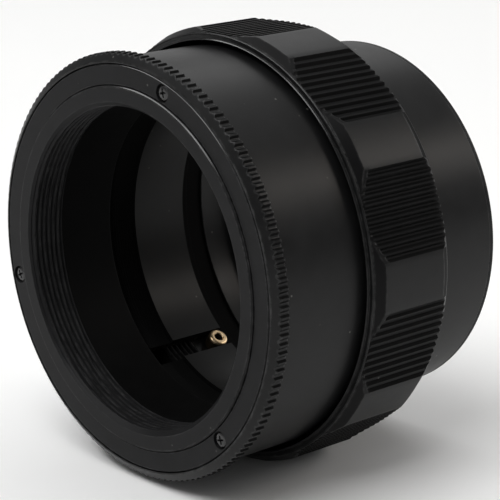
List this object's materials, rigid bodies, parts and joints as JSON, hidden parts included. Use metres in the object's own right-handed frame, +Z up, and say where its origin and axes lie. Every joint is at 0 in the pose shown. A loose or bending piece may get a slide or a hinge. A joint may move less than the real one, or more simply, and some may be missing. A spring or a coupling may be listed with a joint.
{
  "type": "helical focuser",
  "caption": "Black aluminium focusing tube with a threaded bore at each end; turning the scalloped grip draws the knurled front tube in and out.",
  "frame": {"origin": "on the optical axis, at the flat rear face around the mouth of the rear thread", "axes": "+Y along the optical axis, out of the rear mouth towards the camera; +Z up, with the part lying on its grip; the front thread opens to -Y"},
  "size_m": [0.0574, 0.0416, 0.0562],
  "materials": {
    "satin_black": "satin black anodised, fine turned",
    "matte_black": "matte black anodised",
    "baffle_black": "dull black anodised",
    "steel": "plated, slightly dulled",
    "brass": "turned",
    "blackened_steel": "black oxide, glossy on the edges",
    "acetal": "smooth black"
  },
  "bodies": {
    "base": {"rear_barrel": "satin_black", "rear_thread_ring": "matte_black", "rear_ring_grub_screw": "steel", "key_bushes": "brass", "key_screws": "blackened_steel", "snap_ring": "steel", "rear_thrust_washer": "acetal", "front_thrust_washer": "acetal", "stop_pin": "steel"},
    "grip": {"focus_ring": "satin_black", "lip_ring": "satin_black", "helicoid_nut": "baffle_black", "grip_grub_screws": "steel"},
    "front_tube": {"knurled_ring": "satin_black", "face_plate": "matte_black", "face_screws": "blackened_steel", "front_thread_insert": "matte_black", "front_barrel": "satin_black", "tube_screws": "steel", "front_baffle": "baffle_black", "helicoid_tube": "baffle_black"}
  },
  "joints": [
    {"name": "grip_turn", "type": "hinge", "parent": "base", "child": "grip", "pos_m": [0, -0.0198, 0], "axis": [0, -1, 0], "range_deg": [0, 300]},
    {"name": "tube_slide", "type": "slide", "parent": "base", "child": "front_tube", "axis": [0, 1, 0], "range_m": [0, 0.01]}
  ],
  "couplings": [
    {"joint": "tube_slide", "follows": "grip_turn", "m_per_rad": 0.0019099}
  ]
}
